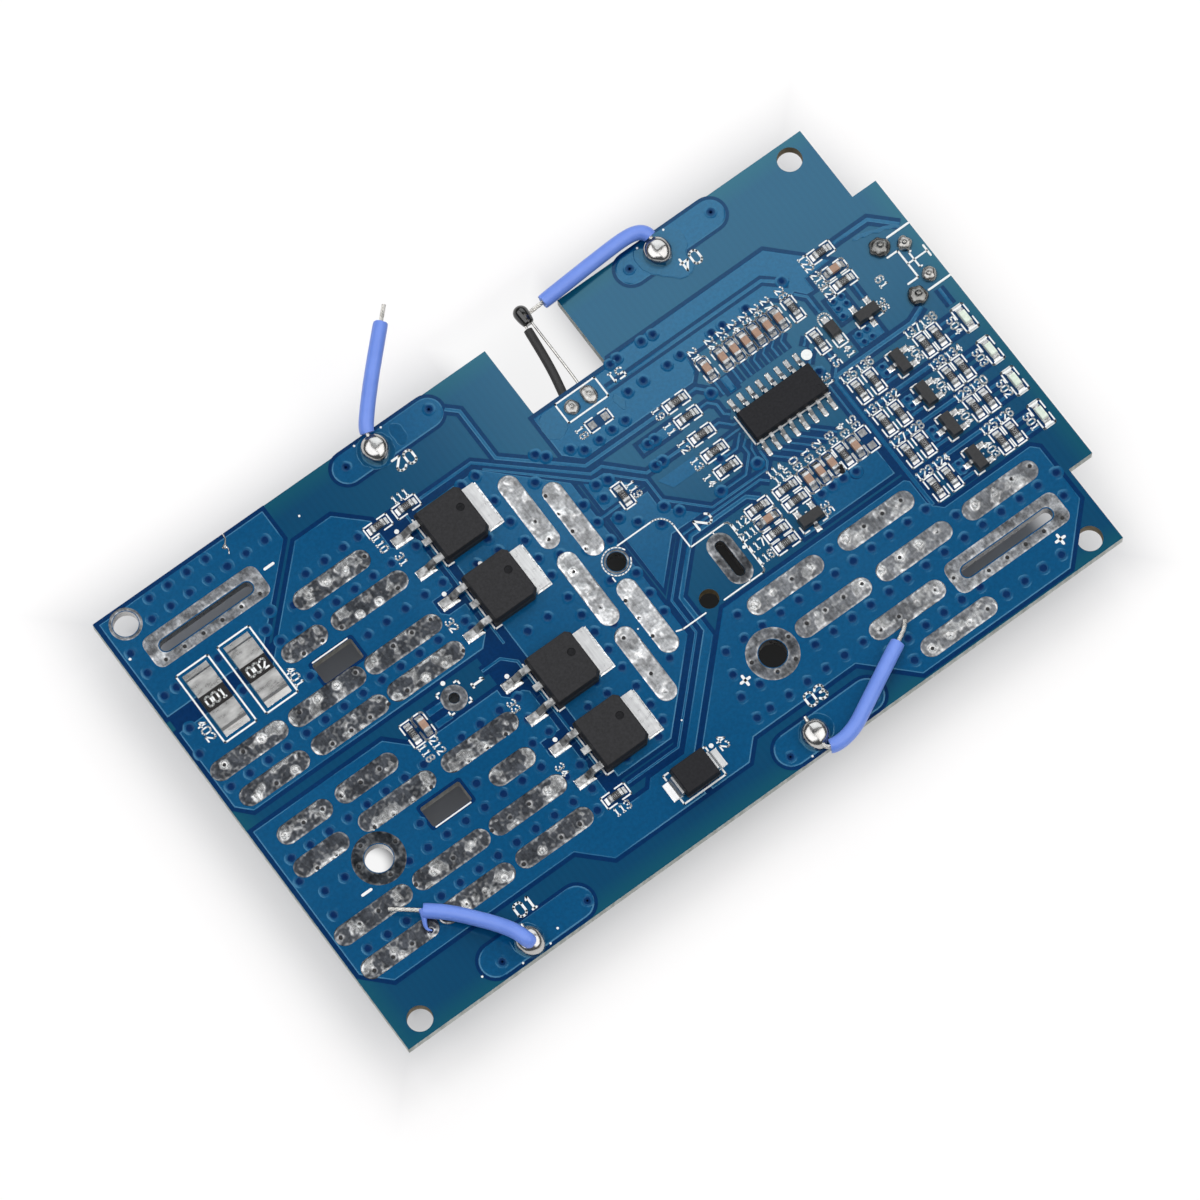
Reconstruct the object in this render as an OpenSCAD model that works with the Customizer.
// Battery management board: a bare circuit board with its fitted parts, wire stubs and side button.
// Origin: centre of the four corner holes, on the underside. X runs along the board, +Z is the fitted side.

/* [Board] */
// Length of the main rectangle
board_length = 96; // [94:0.5:120]
// Width of the main rectangle
board_width = 58.8; // [58:0.1:72]
// Thickness of the laminate
board_thickness = 1.6; // [1:0.1:2.4]
// How far the right-hand tab stands out
tab_depth = 3.2; // [2.8:0.1:5]
// Length of the tab along the right-hand edge
tab_length = 39.4; // [38:0.1:44]
// Lower end of the tab, above the board's lower edge
tab_start = 9.7; // [6:0.1:10]
// Width of the notch for the thermistor
notch_width = 9.9; // [8:0.1:12]
// Depth of the notch
notch_depth = 9.3; // [7:0.1:9.5]
// Radius of the milled corners
milled_r = 0.5; // [0.2:0.1:0.9]

/* [Holes] */
// Diameter of the four corner holes
corner_hole_d = 2.9; // [2.2:0.1:3.2]
// Corner hole to the board's short edge
corner_inset_x = 2.95; // [2.6:0.05:4]
// Corner hole to the board's long edge
corner_inset_y = 2.05; // [2:0.05:3]
// Diameter of the two pack terminal holes
pack_hole_d = 3.2; // [2.2:0.1:4]
// Diameter of the tinned ring around each pack terminal hole
pack_ring_d = 6.1; // [5:0.1:6.6]
// Length of the battery terminal slots
battery_slot_length = 12.2; // [8:0.1:13]
// Width of the battery terminal slots
battery_slot_width = 1.45; // [1:0.05:2]
// Length of the tinned frame around a battery slot
battery_frame_length = 15.2; // [14:0.1:16]
// Width of the tinned frame around a battery slot
battery_frame_width = 4.1; // [3:0.1:4.4]
// Length of the two milled windows
window_length = 5.2; // [4:0.1:6]
// Width of the two milled windows
window_width = 2.6; // [1.5:0.1:3]
// Diameter of the test terminal's hole
test_hole_d = 1.2; // [0.8:0.1:1.6]
// Diameter of the ring around the test terminal's hole
test_ring_d = 3; // [2.4:0.1:3.2]
// Length of the spare terminal's slot
spare_slot_length = 4.65; // [3:0.05:5]
// Width of the spare terminal's slot
spare_slot_width = 1.15; // [0.8:0.05:1.5]
// Width of the tinned margin around the spare terminal's slot
spare_margin = 0.95; // [0.5:0.05:1]
// Diameter of the spare terminal's two peg holes
peg_hole_d = 2.25; // [1.8:0.05:2.5]
// Width of the plated rim around the upper peg hole
peg_rim = 0.3; // [0.2:0.05:0.5]
// Outer diameter of the plated rim at the upper left corner hole
corner_rim_d = 3.8; // [3.5:0.1:4]

/* [Tinned strips] */
// Length of a full tinned strip
strip_length = 9.95; // [8:0.05:10.1]
// Length of the strip beside the end of the middle row
medium_strip_length = 8; // [6:0.1:9]
// Length of the strips near the left edge
short_strip_length = 7; // [5:0.1:7.6]
// Length of the two strips next to the windows
stub_strip_length = 5.8; // [4:0.1:6.2]
// Width of a tinned strip
strip_width = 2.45; // [1.5:0.05:2.5]
// Thickness of the solder on strips, rings and pads
solder_layer = 0.12; // [0.06:0.01:0.3]

/* [Power transistors] */
// Length of the moulded body along the board
fet_length = 6; // [5.4:0.1:6.2]
// Width of the moulded body
fet_width = 6.5; // [6:0.1:7]
// Height of the moulded body
fet_height = 2.3; // [1.8:0.1:2.8]
// Draft on each side of the body's upper part
fet_draft = 0.22; // [0.05:0.01:0.4]
// Thickness of tab and legs
fet_metal = 0.5; // [0.4:0.05:0.6]
// Width of the cooling tab
fet_tab_width = 5.45; // [4.5:0.05:5.8]
// How far the tab stands out past the body
fet_tab_reach = 1.6; // [1:0.1:1.8]
// Distance between the two outer legs
fet_leg_pitch = 4.57; // [4:0.01:5]
// Width of a leg
fet_leg_width = 0.78; // [0.6:0.01:1]
// How far a leg's toe lies from the body
fet_leg_reach = 3.4; // [2.8:0.1:3.6]
// Length of the leg's foot on the pad
fet_foot = 1.3; // [0.8:0.1:1.6]
// Length of the cropped middle leg
fet_stub = 0.95; // [0.6:0.05:1.2]

/* [Controller] */
// Legs on each side of the controller
controller_legs = 8; // [7:1:8]
// Distance between neighbouring legs
controller_pitch = 1.27; // [1.27:0.01:1.3]
// Length of the controller's body
controller_length = 9.9; // [9.6:0.1:10.4]
// Width of the controller's body
controller_width = 3.9; // [3.6:0.1:4.2]
// Height of the controller above the board
controller_height = 1.6; // [1.3:0.1:1.9]
// Toe to toe width across the legs
controller_span = 7.6; // [6:0.1:7.8]
// Width of a controller leg
controller_leg_width = 0.42; // [0.3:0.01:0.6]

/* [Shunts] */
// Length of a current shunt over its terminals
shunt_length = 6.4; // [6:0.1:6.8]
// Width of a current shunt
shunt_width = 3.2; // [2.8:0.1:3.6]
// Length of the coated middle of a shunt
shunt_coat = 2; // [1.5:0.1:3]
// Height of the coated middle
shunt_height = 0.75; // [0.5:0.05:1]
// Length of the solder wetted pad past each end
shunt_fillet = 0.95; // [0.5:0.05:1.2]

/* [Chips] */
// Length of a chip resistor or capacitor over its caps
chip_length = 1.6; // [1.4:0.05:1.8]
// Width of a chip resistor or capacitor
chip_width = 0.8; // [0.7:0.05:0.95]
// Length of a metal end cap
cap_length = 0.32; // [0.2:0.01:0.45]
// Height of a chip resistor
resistor_height = 0.45; // [0.35:0.05:0.6]
// Height of a chip capacitor
capacitor_height = 0.8; // [0.6:0.05:1]
// How far the solder reaches out past a chip's end
chip_fillet = 0.5; // [0.3:0.05:0.6]

/* [Diodes and small transistors] */
// Length of the clamp diode's body
clamp_length = 4.45; // [4:0.05:4.8]
// Width of the clamp diode's body
clamp_width = 3.6; // [3:0.1:4]
// Height of the clamp diode
clamp_height = 2.2; // [1.8:0.1:2.6]
// Width of the clamp diode's terminals
clamp_terminal_width = 2.2; // [1.6:0.1:2.6]
// How far the terminals stand out past the body
clamp_terminal_reach = 1.35; // [0.8:0.05:1.5]
// Length of the small diode's body
small_diode_length = 1.8; // [1.6:0.1:2]
// Width of the small diode's body
small_diode_width = 1.35; // [1.1:0.05:1.5]
// Height of the small diode
small_diode_height = 0.95; // [0.8:0.05:1.2]
// Length of a small transistor's body
sot_length = 2.9; // [2.7:0.05:3]
// Width of a small transistor's body
sot_width = 1.35; // [1.2:0.05:1.45]
// Height of a small transistor
sot_height = 1.1; // [0.9:0.05:1.3]
// How far a small transistor's legs reach past the body
sot_reach = 0.75; // [0.5:0.05:0.85]
// Length of an indicator over its terminals
led_length = 2.1; // [1.8:0.1:2.4]
// Width of an indicator
led_width = 0.85; // [0.7:0.05:1]
// Height of an indicator's lens above the board
led_height = 0.75; // [0.6:0.05:0.9]

/* [Side button] */
// Width of the button's housing along the board edge
button_width = 6.2; // [5.6:0.1:6.4]
// Depth of the housing, inwards from the board edge
button_depth = 3.5; // [3.2:0.1:3.6]
// Height of the housing below the board
button_drop = 6.6; // [6:0.1:7.4]
// Diameter of the plunger where it stands out
plunger_d = 3.5; // [3:0.1:3.8]
// Width of the shoulder that keeps the plunger in
plunger_shoulder = 0.4; // [0.25:0.05:0.5]
// How far the plunger stands out of the housing
plunger_reach = 1; // [0.6:0.1:1.5]
// Thickness of the housing's front wall
front_wall = 0.6; // [0.5:0.05:0.8]
// How far the plunger reaches into the housing
plunger_depth = 1.9; // [1.7:0.05:2]
// Travel of the plunger
plunger_travel = 0.25; // [0.2:0.01:0.3]
// Radial gap between plunger and housing
plunger_clearance = 0.05; // [0.03:0.01:0.08]
// Distance between the two contact pins
contact_pitch = 4.5; // [4.2:0.1:4.6]
// Distance between the two bracket legs
bracket_pitch = 7; // [6.9:0.1:7.4]
// Row of contact pins, inwards from the tab's edge
contact_inset = 1.9; // [1.7:0.1:2.2]
// Thickness of the bracket's sheet
bracket_metal = 0.3; // [0.2:0.05:0.4]

/* [Wires and thermistor] */
// Diameter of the wire insulation
wire_d = 1.7; // [1.4:0.05:1.9]
// Diameter of the bare conductor
conductor_d = 0.5; // [0.4:0.05:0.7]
// Radius of a solder ball on a wire joint
ball_r = 1.45; // [1.2:0.05:1.6]
// Diameter of the thermistor's leads
lead_d = 0.32; // [0.25:0.01:0.4]
// Outer diameter of the sleeve on one lead
sleeve_d = 1.05; // [0.9:0.05:1.2]
// Largest diameter of the thermistor bead
bead_d = 1.8; // [1.6:0.1:2.1]
// Length of the thermistor bead
bead_length = 2.5; // [2.2:0.1:3]

/* [Hidden] */
$fn = 32;
// All the places below are drawn on this rectangle, measured from the board's lower left corner
layout = [96, 58.8];
stretch = [board_length / layout[0], board_width / layout[1]];
top = board_thickness;
notch_x = 52.75;
joint_gap = 0.02;
ring_setback = 0.08;
rod_sides = 8;
wire_sides = 10;
legend_layer = 0.03;
legend_line = 0.16;
legend_end = 0.8;
legend_side = 0.375;
legend_break = 0.5;
led_legend_end = 0.65;
shunt_legend = 0.5;
clamp_legend_end = 0.7;
clamp_legend_side = 0.2;

// Tinned strips as [x, y, length]
battery_strips = [
    [5.5, 37.1, strip_length], [15.8, 37, strip_length], [25.9, 36.9, strip_length],
    [5.9, 32.95, strip_length - 1], [15.95, 32.95, strip_length], [26.1, 32.95, strip_length],
    [23.9, 47.45, strip_length], [17.3, 43.3, stub_strip_length], [25.85, 43.1, strip_length]
];
pack_strips = [
    [5.7, 27.05, short_strip_length], [13.9, 27.05, medium_strip_length],
    [5, 23, short_strip_length], [15.05, 23, strip_length], [26.1, 23, strip_length],
    [27.3, 18.7, stub_strip_length],
    [5.6, 14.25, strip_length], [15.95, 14.25, strip_length], [26.15, 14.25, strip_length],
    [5.8, 9.6, strip_length], [15.9, 9.6, strip_length], [26.3, 9.6, strip_length]
];
drain_strips = [
    [45.7, 40.9, strip_length], [49.15, 37.4, strip_length], [45.75, 30, strip_length],
    [49.15, 23.7, strip_length], [45.75, 19.45, strip_length]
];
load_strips = [
    [63.25, 17.55, strip_length], [75.55, 17.55, strip_length], [65.9, 12.4, strip_length],
    [76.8, 12.3, strip_length], [88.5, 12.25, strip_length], [72.2, 7.4, strip_length],
    [75.55, 2.55, strip_length]
];

// Terminal places
battery_minus_at = [10.5, 52.2];
battery_plus_at = [85.5, 7.05];
pack_minus_at = [9.75, 19];
pack_plus_at = [57.5, 12.15];
window_places = [[19.1, 19.6], [19.1, 39.6]];
test_at = [26.78, 28.7];
spare_slot_at = [60.2, 23.6];
upper_peg_at = [50.05, 30.65];
lower_peg_at = [55.65, 21.25];

// Fitted parts
fet_places = [[38.1, 44.5], [38.1, 35.65], [38.1, 24.05], [38.1, 15.2]];
controller_at = [75.33, 34.3];
shunt_places = [[6, 44], [11.5, 44]];
clamp_at = [42.6, 6.2];
small_diode_at = [84.9, 38];

// Chips as [x, y, angle]
sense_resistors = [
    [66.15, 41.5, 0], [66.15, 39.35, 0], [66.15, 36.8, 0], [66.15, 34.4, 0], [66.15, 32.05, 0],
    [82.9, 42.5, 90], [82.9, 37.8, 90], [77.28, 25.6, 90]
];
gate_resistors = [
    [31.5, 49.4, 0], [35.3, 49.4, 0], [20.8, 28.1, 90], [55.1, 36.3, 90], [34.35, 9.4, 0],
    [66.15, 26.35, 0], [66.15, 22.95, 0], [66.15, 21.35, 0], [69.95, 26.35, 0], [69.95, 24.6, 0],
    [89.25, 45.95, 0], [89.25, 41.7, 0]
];
led_rows = [16.65, 21.42, 25.85, 30.5];
led_resistor_columns = [83.1, 85.07, 92.07, 93.8];
led_resistors = [for (y = led_rows) for (x = led_resistor_columns) [x, y, 90]];
filter_capacitors = [
    for (x = [71.1, 73.25, 74.85, 76.4, 77.9, 79.4, 80.9]) [x, 42.5, 90]
];
supply_capacitors = [
    [72.45, 25.6, 90], [74, 25.6, 90], [75.6, 25.6, 90], [78.85, 25.6, 90],
    [66.15, 24.65, 0], [22.3, 28.1, 90], [89.25, 43.45, 0]
];
empty_chips = [[58.05, 44.8, 0], [80.4, 25.6, 90]];
resistors = concat(sense_resistors, gate_resistors, led_resistors);
capacitors = concat(filter_capacitors, supply_capacitors);

// Small transistors as [x, y, angle]: the single leg points down at angle 0
driver_transistors = [[70, 21.95, 0], [89.05, 37.2, 0]];
led_transistors = [for (y = led_rows) [88.65, y, -90]];
led_column = layout[0] + 0.45 * tab_depth;

// Wire joints, and each wire's route from its joint: across, along, and height above the top face
joint_1 = [17.3, 1.9];
joint_2 = [36.4, 56.7];
joint_3 = [55.7, 2.1];
joint_4 = [74.8, 56.7];
joints = [joint_1, joint_2, joint_3, joint_4];
route_1 = [
    [0, -0.4, 1], [-0.1, -0.7, 2], [-0.35, -0.2, 2.75], [-0.8, 1.3, 2.7], [-1.7, 3, 2.1],
    [-3.1, 5, 1.6], [-5.1, 7.4, 1.5], [-7.1, 9.1, 1.5], [-8.6, 10.4, 1.4], [-10.2, 11.7, 1.2]
];
route_2 = [
    [0, 0.3, 1], [0.15, 1.4, 1.2], [0.4, 2.2, 1.4], [1.2, 3.2, 1.6], [2.9, 5.1, 1.7],
    [5, 7.3, 1.7], [8.1, 10.4, 1.6], [9.3, 11.6, 1.5], [10.4, 12.7, 1.4]
];
route_3 = [
    [0, 0, 1], [-0.1, -1.2, 1.1], [-0.1, -2, 1.1], [0.7, -2.4, 1.1], [2.2, -2.45, 1.1],
    [4, -2, 1.1], [6.5, -0.7, 1.1], [9.2, 0.7, 1.1], [11.5, 1.9, 1.1], [13.7, 3, 1],
    [15, 3.8, 0.8], [15.5, 4.5, 0.6]
];
route_4 = [
    [0, 0.2, 1], [0.2, 1.3, 1.2], [0.15, 2.1, 1.4], [-0.6, 2.8, 1.5], [-2.2, 3.1, 1.5],
    [-5, 3, 1.5], [-8.5, 2.8, 1.5], [-13.2, 2.5, 1.5], [-14.4, 2.4, 1.5], [-15.7, 2.35, 1.5]
];
// Short conductor ends that stand out of the solder on the far side
nib_1 = [[0.15, 0.6, 0.9], [0.4, 2, 0.8]];
nib_3 = [[0.05, 0.9, 0.9], [0.15, 2.2, 1]];
nib_4 = [[-0.2, -0.8, 0.7], [-0.45, -1.7, 0.5]];

// Thermistor: solder points, then the leads' routes, with heights below the top face
lead_place_1 = [56.7, 47.75];
lead_place_2 = [59.1, 47.8];
lead_depth = board_thickness + 1.05;
bead_at = [59, 60.75];
lead_bore = lead_d + 0.3;
thermistor_dome_r = 0.85;

button_dome_r = [1.15, 0.88];
contact_bore = 1;
bracket_bore = 1.3;
contact_metal = 0.25;
bracket_row = contact_inset + 2.5;

// ---- places ----

// A layout point in the part's own frame
function at(p) = [
    (p[0] / layout[0] - 1 / 2) * board_length,
    (p[1] / layout[1] - 1 / 2) * board_width
];

corner_x = board_length / 2 - corner_inset_x;
corner_y = board_width / 2 - corner_inset_y;
tab_edge = board_length / 2 + tab_depth;
button_y = at([0, 39])[1];
button_front = tab_edge - 0.3;
button_gap = 0.1;
plunger_z = -button_gap - (button_drop - button_gap) / 2;

module put(p, z = top) {
    translate([at(p)[0], at(p)[1], z]) children();
}

module put_all(places, z = top) {
    for (p = places) put(p, z) rotate(len(p) > 2 ? p[2] : 0) children();
}

// ---- shapes that repeat ----

module stadium(length, width) {
    square([length - width, width], center = true);
    for (side = [-1, 1]) translate([side * (length - width) / 2, 0]) circle(d = width);
}

module round_rect(length, width, r) {
    square([length - 2 * r, width], center = true);
    square([length, width - 2 * r], center = true);
    for (sx = [-1, 1], sy = [-1, 1]) {
        translate([sx * (length / 2 - r), sy * (width / 2 - r)]) circle(r);
    }
}

// A flat profile, drawn in X and Z and extruded along Y about its middle
module side_profile(width) {
    rotate([90, 0, 0]) linear_extrude(width, center = true) children();
}

// Moulded block: straight sides up to a parting height, then drafted to the top
module moulded_block(size, parting, draft) {
    intersection() {
        side_profile(size[1]) block_profile(size[0], size[2], parting, draft);
        rotate(90) side_profile(size[0]) block_profile(size[1], size[2], parting, draft);
    }
}

module block_profile(length, height, parting, draft) {
    polygon([
        [-length / 2, 0], [length / 2, 0], [length / 2, parting],
        [length / 2 - draft, height], [draft - length / 2, height], [-length / 2, parting]
    ]);
}

// Bent leg, from the body's face at X = 0 outwards to -reach, with its foot at height 0
module gull_leg(reach, rise, foot, metal, width) {
    shoulder = (reach - foot) * 0.45;
    lean = metal * 0.35;
    side_profile(width) polygon([
        [0, rise], [-shoulder, rise], [foot - reach, 0], [-reach, 0],
        [-reach, metal], [foot - reach + lean - metal * 0.5, metal],
        [-shoulder - metal * 0.5 + lean * 0.5, rise + metal], [0, rise + metal]
    ]);
}

// Half of a ball standing on a face
module dome(r, height) {
    sink = (r * r - height * height) / (2 * height);
    ball = sink + height;
    intersection() {
        translate([0, 0, -sink]) sphere(ball);
        cylinder(h = height, r = r);
    }
}

// ---- swept rods and tubes ----

function unit(v) = v / norm(v);
function tangent(p, i) = unit(p[min(i + 1, len(p) - 1)] - p[max(i - 1, 0)]);
function steady(v, t) = unit(v - (v * t) * t);
function normals(p, i = 0, seed = [0.3, 0.2, 1]) =
    i == len(p) ? [] : let (n = steady(seed, tangent(p, i))) concat([n], normals(p, i + 1, n));
// Corner cutting that keeps both ends
function round_corners(p, times) = times == 0 ? p : round_corners(concat(
    [p[0]],
    [for (i = [0:len(p) - 2]) each [p[i] * 0.75 + p[i + 1] * 0.25, p[i] * 0.25 + p[i + 1] * 0.75]],
    [p[len(p) - 1]]
), times - 1);
function ring_points(p, r, sides) = let (n = normals(p)) [
    for (i = [0:len(p) - 1]) let (b = cross(tangent(p, i), n[i]))
        for (k = [0:sides - 1]) p[i] + r * (cos(360 * k / sides) * n[i] + sin(360 * k / sides) * b)
];
function wall(rings, sides, from, flip) = [
    for (i = [0:rings - 2], k = [0:sides - 1]) let (
        a = from + i * sides + k,
        b = from + i * sides + (k + 1) % sides
    ) flip ? [a, b, b + sides, a + sides] : [b, a, a + sides, b + sides]
];

module swept_rod(path, r, sides) {
    rings = len(path);
    last = (rings - 1) * sides;
    polyhedron(ring_points(path, r, sides), concat(
        wall(rings, sides, 0, false),
        [[for (k = [0:sides - 1]) k]],
        [[for (k = [sides - 1:-1:0]) last + k]]
    ));
}

module swept_tube(path, outer_r, inner_r, sides) {
    rings = len(path);
    inner = rings * sides;
    last = (rings - 1) * sides;
    polyhedron(
        concat(ring_points(path, outer_r, sides), ring_points(path, inner_r, sides)),
        concat(
            wall(rings, sides, 0, false),
            wall(rings, sides, inner, true),
            [for (k = [0:sides - 1]) let (m = (k + 1) % sides) [k, m, inner + m, inner + k]],
            [for (k = [0:sides - 1]) let (m = (k + 1) % sides)
                [last + m, last + k, inner + last + k, inner + last + m]]
        )
    );
}

// ---- board ----

module board_outline() {
    difference() {
        union() {
            square([board_length, board_width], center = true);
            translate([board_length / 2 - 1, tab_start - board_width / 2]) square([tab_depth + 1, tab_length]);
        }
        notch_outline();
    }
}

// The notch runs in from the upper edge; its inner corners keep the cutter's radius
module notch_outline() {
    left = at([notch_x, 0])[0];
    bottom = board_width / 2 - notch_depth;
    translate([left + milled_r, bottom]) square([notch_width - 2 * milled_r, notch_depth + 1]);
    translate([left, bottom + milled_r]) square([notch_width, notch_depth + 1 - milled_r]);
    for (x = [left + milled_r, left + notch_width - milled_r]) {
        translate([x, bottom + milled_r]) circle(milled_r);
    }
}

module through_cuts() {
    for (sx = [-1, 1], sy = [-1, 1]) translate([sx * corner_x, sy * corner_y]) circle(d = corner_hole_d);
    for (p = [pack_minus_at, pack_plus_at]) translate(at(p)) circle(d = pack_hole_d);
    for (p = [battery_minus_at, battery_plus_at]) {
        translate(at(p)) stadium(battery_slot_length * stretch[0], battery_slot_width);
    }
    for (p = window_places) translate(at(p)) round_rect(window_length, window_width, milled_r / 2);
    translate(at(test_at)) circle(d = test_hole_d);
    translate(at(spare_slot_at)) rotate(90) stadium(spare_slot_length, spare_slot_width);
    for (p = [upper_peg_at, lower_peg_at]) translate(at(p)) circle(d = peg_hole_d);
    for (p = [lead_place_1, lead_place_2]) translate(at(p)) circle(d = lead_bore);
    button_places(contact_pitch, contact_inset) circle(d = contact_bore);
    button_places(bracket_pitch, bracket_row) circle(d = bracket_bore);
}

// The two places of a pin row of the side button
module button_places(pitch, inset) {
    for (side = [-1, 1]) translate([tab_edge - inset, button_y + side * pitch / 2]) children();
}

module circuit_board() {
    color([0.03, 0.3, 0.5]) linear_extrude(board_thickness) difference() {
        board_outline();
        through_cuts();
    }
}

// ---- tinned copper ----

module tinned() {
    color([0.6, 0.61, 0.6]) linear_extrude(solder_layer) children();
}

module strips(list, angle = 0) {
    along = angle == 0 ? stretch[0] : stretch[1];
    for (s = list) put([s[0], s[1]]) tinned() rotate(angle) stadium(s[2] * along, strip_width);
}

module battery_side_strips() { strips(battery_strips); }
module pack_side_strips() { strips(pack_strips); }
module drain_strips() { strips(drain_strips, 90); }
module load_side_strips() { strips(load_strips); }

module battery_frame(p) {
    put(p) tinned() difference() {
        round_rect(battery_frame_length * stretch[0], battery_frame_width, 1);
        stadium(battery_slot_length * stretch[0], battery_slot_width);
    }
}

module battery_minus_frame() { battery_frame(battery_minus_at); }
module battery_plus_frame() { battery_frame(battery_plus_at); }

// Tinned ring around a hole, set back a little from the hole's edge
module flat_ring(outer_d, hole_d) {
    tinned() difference() {
        circle(d = outer_d);
        circle(d = hole_d + 2 * ring_setback);
    }
}

module pack_minus_ring() { put(pack_minus_at) flat_ring(pack_ring_d, pack_hole_d); }
module pack_plus_ring() { put(pack_plus_at) flat_ring(pack_ring_d, pack_hole_d); }

module small_terminal_rings() {
    put(test_at) flat_ring(test_ring_d, test_hole_d);
    put(upper_peg_at) flat_ring(peg_hole_d + 2 * peg_rim, peg_hole_d);
    translate([-corner_x, corner_y, top]) flat_ring(corner_rim_d, corner_hole_d);
    put(spare_slot_at) rotate(90) tinned() difference() {
        stadium(spare_slot_length + 2 * spare_margin, spare_slot_width + 2 * spare_margin);
        stadium(spare_slot_length, spare_slot_width);
    }
}

// ---- power transistors ----

// Underside plate that carries the chip and stands out as the cooling tab
module fet_plate() {
    inside = fet_length * 0.85;
    translate([fet_length / 2 - inside, -fet_tab_width / 2, 0]) {
        cube([inside + fet_tab_reach, fet_tab_width, fet_metal]);
    }
}

module fet_body(p) {
    color([0.13, 0.13, 0.14]) put(p) difference() {
        moulded_block([fet_length, fet_width, fet_height], fet_height * 0.6, fet_draft);
        fet_plate();
    }
}

module fet_metal_parts(p) {
    leg_rise = fet_height * 0.35;
    color([0.75, 0.75, 0.73]) put(p) {
        fet_plate();
        for (side = [-1, 1]) translate([-fet_length / 2, side * fet_leg_pitch / 2, 0]) {
            gull_leg(fet_leg_reach, leg_rise, fet_foot, fet_metal, fet_leg_width);
        }
        translate([-fet_length / 2 - fet_stub, -fet_leg_width / 2, leg_rise]) {
            cube([fet_stub, fet_leg_width, fet_metal]);
        }
    }
}

module power_transistor_1_body() { fet_body(fet_places[0]); }
module power_transistor_2_body() { fet_body(fet_places[1]); }
module power_transistor_3_body() { fet_body(fet_places[2]); }
module power_transistor_4_body() { fet_body(fet_places[3]); }
module power_transistor_1_metal() { fet_metal_parts(fet_places[0]); }
module power_transistor_2_metal() { fet_metal_parts(fet_places[1]); }
module power_transistor_3_metal() { fet_metal_parts(fet_places[2]); }
module power_transistor_4_metal() { fet_metal_parts(fet_places[3]); }

// ---- controller ----

controller_lift = 0.1;
controller_metal = 0.2;

module controller_body() {
    height = controller_height - controller_lift;
    color([0.14, 0.14, 0.15]) put(controller_at, top + controller_lift) {
        moulded_block([controller_length, controller_width, height], height * 0.55, 0.15);
    }
}

module controller_legs() {
    reach = (controller_span - controller_width) / 2;
    color([0.8, 0.8, 0.78]) put(controller_at) {
        for (i = [0:controller_legs - 1], side = [-1, 1]) {
            translate([(i - (controller_legs - 1) / 2) * controller_pitch, side * controller_width / 2, 0]) {
                rotate(-90 * side) gull_leg(reach, controller_height * 0.35, reach * 0.45,
                    controller_metal, controller_leg_width);
            }
        }
    }
}

// ---- current shunts ----

module shunt_body(p) {
    color([0.1, 0.1, 0.1]) put(p) translate([-shunt_width / 2, -shunt_coat / 2, 0]) {
        cube([shunt_width, shunt_coat, shunt_height]);
    }
}

// Plate ends of the strip, with the solder that climbs them
module shunt_terminals(p) {
    plate = shunt_height * 0.8;
    edge = shunt_length / 2;
    color([0.82, 0.81, 0.78]) put(p) for (turn = [0, 180]) rotate(turn) rotate(90) {
        side_profile(shunt_width) polygon([
            [shunt_coat / 2, 0], [edge + shunt_fillet, 0], [edge + shunt_fillet, solder_layer],
            [edge + shunt_fillet * 0.3, plate * 0.45], [edge, plate], [shunt_coat / 2, plate]
        ]);
    }
}

module shunt_1_body() { shunt_body(shunt_places[0]); }
module shunt_2_body() { shunt_body(shunt_places[1]); }
module shunt_1_terminals() { shunt_terminals(shunt_places[0]); }
module shunt_2_terminals() { shunt_terminals(shunt_places[1]); }

// ---- diodes and small transistors ----

module clamp_diode_body() {
    color([0.12, 0.12, 0.13]) put(clamp_at, top + solder_layer) {
        moulded_block([clamp_length, clamp_width, clamp_height - solder_layer], clamp_height * 0.55, 0.12);
    }
}

// Flat foot under the body, and a strap up its end
module clamp_diode_terminals() {
    edge = clamp_length / 2;
    strap = 0.25;
    color([0.8, 0.8, 0.78]) put(clamp_at) for (turn = [0, 180]) rotate(turn) {
        side_profile(clamp_terminal_width) polygon([
            [edge * 0.5, 0], [edge + clamp_terminal_reach, 0],
            [edge + clamp_terminal_reach, solder_layer], [edge + strap * 2.5, solder_layer * 2],
            [edge + strap, clamp_height * 0.5], [edge, clamp_height * 0.5],
            [edge, solder_layer], [edge * 0.5, solder_layer]
        ]);
    }
}

small_diode_foot = 0.55;

module small_diode_body() {
    color([0.1, 0.1, 0.1]) put(small_diode_at) rotate(90) {
        moulded_block([small_diode_length, small_diode_width, small_diode_height], small_diode_height * 0.5, 0.12);
    }
}

module small_diode_terminals() {
    color([0.82, 0.82, 0.8]) put(small_diode_at) for (turn = [90, 270]) rotate(turn) {
        translate([small_diode_length / 2, -small_diode_width * 0.3, 0]) {
            cube([small_diode_foot, small_diode_width * 0.6, 0.2]);
        }
    }
}

module sot_bodies(places) {
    lift = 0.05;
    color([0.12, 0.12, 0.13]) put_all(places, top + lift) {
        moulded_block([sot_length, sot_width, sot_height - lift], sot_height * 0.5, 0.1);
    }
}

module sot_leg() {
    gull_leg(sot_reach, sot_height * 0.4, sot_reach * 0.45, 0.15, 0.45);
}

module driver_transistor_bodies() { sot_bodies(driver_transistors); }
module led_transistor_bodies() { sot_bodies(led_transistors); }

module small_transistor_legs() {
    color([0.82, 0.82, 0.8]) put_all(concat(driver_transistors, led_transistors)) {
        translate([0, -sot_width / 2, 0]) rotate(90) sot_leg();
        for (side = [-1, 1]) translate([side * 0.95, sot_width / 2, 0]) rotate(-90) sot_leg();
    }
}

// ---- indicators ----

led_cap = 0.3;
led_base = 0.3;
led_places = [for (y = led_rows) [led_column, y - 0.1, 90]];

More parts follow.
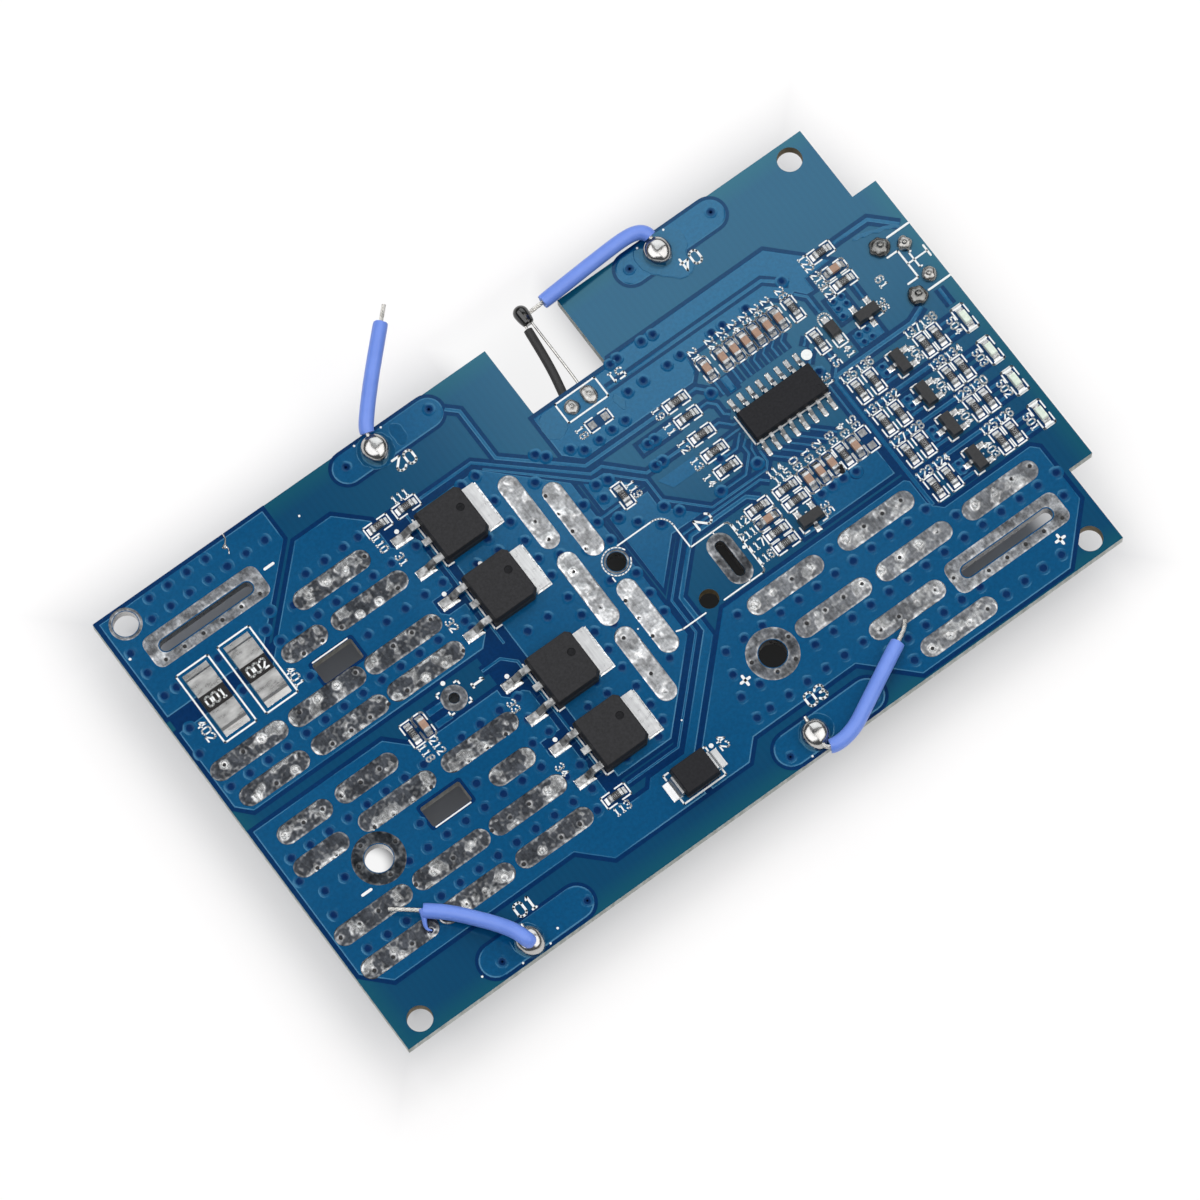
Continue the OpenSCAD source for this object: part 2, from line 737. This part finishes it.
module indicator_bases() {
    color([0.9, 0.9, 0.86]) put_all(led_places) {
        translate([led_cap - led_length / 2, -led_width / 2, 0]) cube([led_length - 2 * led_cap, led_width, led_base]);
    }
}

module indicator_lenses() {
    height = led_height - led_base;
    color([0.9, 0.95, 0.85]) put_all(led_places, top + led_base) {
        moulded_block([led_length - 2 * led_cap, led_width, height], height * 0.6, 0.06);
    }
}

module indicator_terminals() {
    color([0.85, 0.85, 0.83]) put_all(led_places) for (turn = [0, 180]) rotate(turn) {
        end_cap(led_length / 2, led_cap, led_width, led_base, 0.3);
    }
}

// ---- chip resistors and capacitors ----

// Metal cap of a chip that ends at X = edge, with the solder that climbs it
module end_cap(edge, length, width, height, fillet) {
    side_profile(width) polygon([
        [edge - length, 0], [edge + fillet, 0], [edge + fillet, solder_layer / 2],
        [edge + fillet * 0.35, height * 0.35], [edge, height], [edge - length, height]
    ]);
}

module chip_bodies(places, height) {
    length = chip_length - 2 * cap_length;
    put_all(places) translate([-length / 2, -chip_width / 2, 0]) cube([length, chip_width, height]);
}

module chip_caps(places, height) {
    color([0.8, 0.8, 0.78]) put_all(places) for (turn = [0, 180]) rotate(turn) {
        end_cap(chip_length / 2, cap_length, chip_width, height, chip_fillet);
    }
}

module sense_resistor_bodies() { color([0.15, 0.15, 0.16]) chip_bodies(sense_resistors, resistor_height); }
module gate_resistor_bodies() { color([0.15, 0.15, 0.16]) chip_bodies(gate_resistors, resistor_height); }
module indicator_resistor_bodies() { color([0.15, 0.15, 0.16]) chip_bodies(led_resistors, resistor_height); }
module filter_capacitor_bodies() { color([0.66, 0.46, 0.34]) chip_bodies(filter_capacitors, capacitor_height); }
module supply_capacitor_bodies() { color([0.66, 0.46, 0.34]) chip_bodies(supply_capacitors, capacitor_height); }
module resistor_end_caps() { chip_caps(resistors, resistor_height); }
module capacitor_end_caps() { chip_caps(capacitors, capacitor_height); }

module empty_chip_pads() {
    put_all(empty_chips) for (side = [-1, 1]) translate([side * chip_length * 0.55, 0, 0]) {
        tinned() square([chip_width, chip_width * 1.05], center = true);
    }
}

// ---- side button, hung under the tab ----

module from_button_front() {
    translate([button_front, button_y, plunger_z]) rotate([0, -90, 0]) children();
}

shoulder_d = plunger_d + 2 * plunger_shoulder;
shoulder_length = 0.6;
dome_metal = 0.1;
dome_room = 2 * plunger_travel;

// Moulded case: a stepped bore keeps the plunger's shoulder in, and the snap dome lies at its bottom
module button_housing() {
    height = button_drop - button_gap;
    color([0.12, 0.12, 0.12]) difference() {
        translate([button_front - button_depth, button_y - button_width / 2, -button_gap - height]) {
            cube([button_depth, button_width, height]);
        }
        from_button_front() {
            translate([0, 0, -1]) cylinder(h = 1 + front_wall, d = plunger_d + 2 * plunger_clearance);
            translate([0, 0, front_wall]) {
                cylinder(h = plunger_depth - front_wall + dome_room, d = shoulder_d + 2 * plunger_clearance);
            }
        }
    }
}

module button_plunger() {
    color([0.2, 0.2, 0.2]) from_button_front() {
        translate([0, 0, -plunger_reach]) cylinder(h = plunger_reach + plunger_depth, d = plunger_d);
        translate([0, 0, front_wall + joint_gap]) cylinder(h = shoulder_length, d = shoulder_d);
    }
}

// Shallow sprung disc whose crown just meets the plunger
module button_snap_dome() {
    crown = dome_room - joint_gap;
    rim = shoulder_d / 2 - plunger_clearance;
    color([0.85, 0.83, 0.78]) from_button_front() translate([0, 0, plunger_depth + dome_room]) {
        mirror([0, 0, 1]) rotate_extrude() polygon([
            [0, crown], [rim * 0.45, crown * 0.85], [rim, dome_metal],
            [rim, 0], [rim * 0.9, 0], [rim * 0.4, crown * 0.85 - dome_metal], [0, crown - dome_metal]
        ]);
    }
}

// Sheet behind the housing, with a leg at each side that passes up through the board
module button_bracket() {
    back = button_front - button_depth;
    leg = 0.9;
    width = bracket_pitch + bracket_metal;
    height = button_drop - button_gap - 0.4;
    color([0.7, 0.7, 0.7]) {
        translate([back - bracket_metal, button_y - width / 2, -button_gap - height]) {
            cube([bracket_metal, width, height]);
        }
        for (side = [-1, 1]) {
            translate([back - bracket_metal, button_y + side * bracket_pitch / 2 - bracket_metal / 2, -height * 0.7]) {
                cube([button_depth * 0.6, bracket_metal, height * 0.7 - button_gap]);
            }
            translate([tab_edge - bracket_row - leg / 2,
                    button_y + side * bracket_pitch / 2 - bracket_metal / 2, -height * 0.4]) {
                cube([leg, bracket_metal, height * 0.4 + top + 0.6]);
            }
        }
    }
}

// Contact pins that rise from the housing's upper face
module button_contacts() {
    color([0.78, 0.76, 0.7]) button_places(contact_pitch, contact_inset) {
        translate([-0.35, -contact_metal / 2, -button_gap]) cube([0.7, contact_metal, button_gap + top + 0.5]);
    }
}

// Solder: a plug in each plated hole and a dome on top, around the leg
module button_solder() {
    color([0.45, 0.45, 0.45]) {
        difference() {
            button_places(bracket_pitch, bracket_row) solder_plug(bracket_bore, button_dome_r[0], 0.9);
            button_bracket();
        }
        difference() {
            button_places(contact_pitch, contact_inset) solder_plug(contact_bore, button_dome_r[1], 0.8);
            button_contacts();
        }
    }
}

module solder_plug(bore, r, height) {
    cylinder(h = top, d = bore);
    translate([0, 0, top]) dome(r, height);
}

// ---- thermistor ----

function lead_route(p, bend, end) = let (from = at(p), to = at(end)) [
    [from[0], from[1], top + 0.45], [from[0], from[1], 0], [from[0], from[1], -0.2],
    [from[0], from[1] + 0.3, top - lead_depth], [from[0] + bend, from[1] + 2.6, top - lead_depth],
    [(from[0] + to[0]) / 2 + bend * 0.6, (from[1] + to[1]) / 2, top - lead_depth], [to[0], to[1], top - lead_depth]
];

sleeved_route = round_corners(lead_route(lead_place_1, 0.5, bead_at - [0.4, 0.9]), 2);
bare_route = round_corners(lead_route(lead_place_2, 0.2, bead_at + [0.35, -0.9]), 2);
sleeve_from = 14;
bead_tail = bead_length - bead_d / 2;

module thermistor_leads() {
    color([0.7, 0.7, 0.68]) {
        swept_rod(sleeved_route, lead_d / 2, rod_sides);
        swept_rod(bare_route, lead_d / 2, rod_sides);
    }
}

module thermistor_sleeve() {
    inner_r = lead_d / 2 / cos(180 / rod_sides) + joint_gap;
    last_y = at(bead_at)[1] - bead_tail - joint_gap;
    path = [for (i = [sleeve_from:len(sleeved_route) - 1]) if (sleeved_route[i][1] < last_y) sleeved_route[i]];
    color([0.08, 0.08, 0.08]) swept_tube(path, sleeve_d / 2, inner_r, rod_sides);
}

// Resin drop: a round nose, thinner where the leads enter
module thermistor_bead() {
    color([0.05, 0.05, 0.05]) put(bead_at, top - lead_depth) {
        sphere(d = bead_d);
        rotate([90, 0, 0]) cylinder(h = bead_tail, d1 = bead_d, d2 = bead_d * 0.75);
    }
}

module thermistor_solder() {
    color([0.6, 0.6, 0.58]) for (p = [lead_place_1, lead_place_2]) difference() {
        put(p, 0) solder_plug(lead_bore, thermistor_dome_r, 0.6);
        put(p, -1) cylinder(h = top + 2, d = lead_d);
    }
}

// ---- battery tap wires ----

function wire_path(joint, route) = round_corners([for (p = route) concat(at(joint), [top]) + p], 2);

module insulation(joint, route, from, to) {
    path = wire_path(joint, route);
    inner_r = conductor_d / 2 / cos(180 / wire_sides) + joint_gap;
    color([0.36, 0.5, 0.9]) {
        swept_tube([for (i = [from:len(path) - 1 - to]) path[i]], wire_d / 2, inner_r, wire_sides);
    }
}

module wire_1_insulation() { insulation(joint_1, route_1, 7, 7); }
module wire_2_insulation() { insulation(joint_2, route_2, 7, 7); }
module wire_3_insulation() { insulation(joint_3, route_3, 12, 10); }
module wire_4_insulation() { insulation(joint_4, route_4, 7, 7); }

module wire_conductors() {
    color([0.75, 0.74, 0.7]) {
        for (w = [[joint_1, route_1], [joint_2, route_2], [joint_3, route_3], [joint_4, route_4]]) {
            swept_rod(wire_path(w[0], w[1]), conductor_d / 2, wire_sides);
        }
        for (w = [[joint_1, nib_1], [joint_3, nib_3], [joint_4, nib_4]]) {
            swept_rod([for (p = w[1]) concat(at(w[0]), [top]) + p], conductor_d * 0.55, wire_sides);
        }
    }
}

module wire_solder_joints() {
    color([0.8, 0.78, 0.74]) for (p = joints) put(p) dome(ball_r, ball_r * 1.25);
}

// ---- printed outlines ----

module print() {
    color([0.95, 0.95, 0.93]) linear_extrude(legend_layer) children();
}

module closed_frame(length, width) {
    difference() {
        square([length, width], center = true);
        square([length - 2 * legend_line, width - 2 * legend_line], center = true);
    }
}

// Two brackets that face each other around a part
module bracket_pair(length, width, gap) {
    for (turn = [0, 180]) rotate(turn) translate([gap / 2, 0]) difference() {
        translate([0, -width / 2]) square([(length - gap) / 2, width]);
        translate([-1, legend_line - width / 2]) {
            square([(length - gap) / 2 - legend_line + 1, width - 2 * legend_line]);
        }
    }
}

module printed_outlines() {
    put_all(concat(resistors, capacitors, empty_chips)) print() {
        bracket_pair(chip_length + 2 * legend_end, chip_width + 2 * legend_side, legend_break);
    }
    put_all(led_places) print() {
        bracket_pair(led_length + 2 * led_legend_end, led_width + 2 * legend_side, legend_break);
    }
    put_all(shunt_places) print() {
        closed_frame(shunt_width + 2 * shunt_legend, shunt_length + 2 * (shunt_fillet + shunt_legend));
    }
    put(clamp_at) print() difference() {
        closed_frame(clamp_length + 2 * clamp_legend_end, clamp_width + 2 * clamp_legend_side);
        square([2 * clamp_length, clamp_terminal_width + 0.5], center = true);
    }
}

circuit_board();
battery_side_strips();
pack_side_strips();
drain_strips();
load_side_strips();
battery_minus_frame();
battery_plus_frame();
pack_minus_ring();
pack_plus_ring();
small_terminal_rings();
power_transistor_1_body();
power_transistor_2_body();
power_transistor_3_body();
power_transistor_4_body();
power_transistor_1_metal();
power_transistor_2_metal();
power_transistor_3_metal();
power_transistor_4_metal();
controller_body();
controller_legs();
shunt_1_body();
shunt_2_body();
shunt_1_terminals();
shunt_2_terminals();
clamp_diode_body();
clamp_diode_terminals();
small_diode_body();
small_diode_terminals();
driver_transistor_bodies();
led_transistor_bodies();
small_transistor_legs();
indicator_lenses();
indicator_bases();
indicator_terminals();
sense_resistor_bodies();
gate_resistor_bodies();
indicator_resistor_bodies();
resistor_end_caps();
filter_capacitor_bodies();
supply_capacitor_bodies();
capacitor_end_caps();
empty_chip_pads();
button_housing();
button_plunger();
button_snap_dome();
button_bracket();
button_contacts();
button_solder();
thermistor_bead();
thermistor_leads();
thermistor_sleeve();
thermistor_solder();
wire_1_insulation();
wire_2_insulation();
wire_3_insulation();
wire_4_insulation();
wire_conductors();
wire_solder_joints();
printed_outlines();
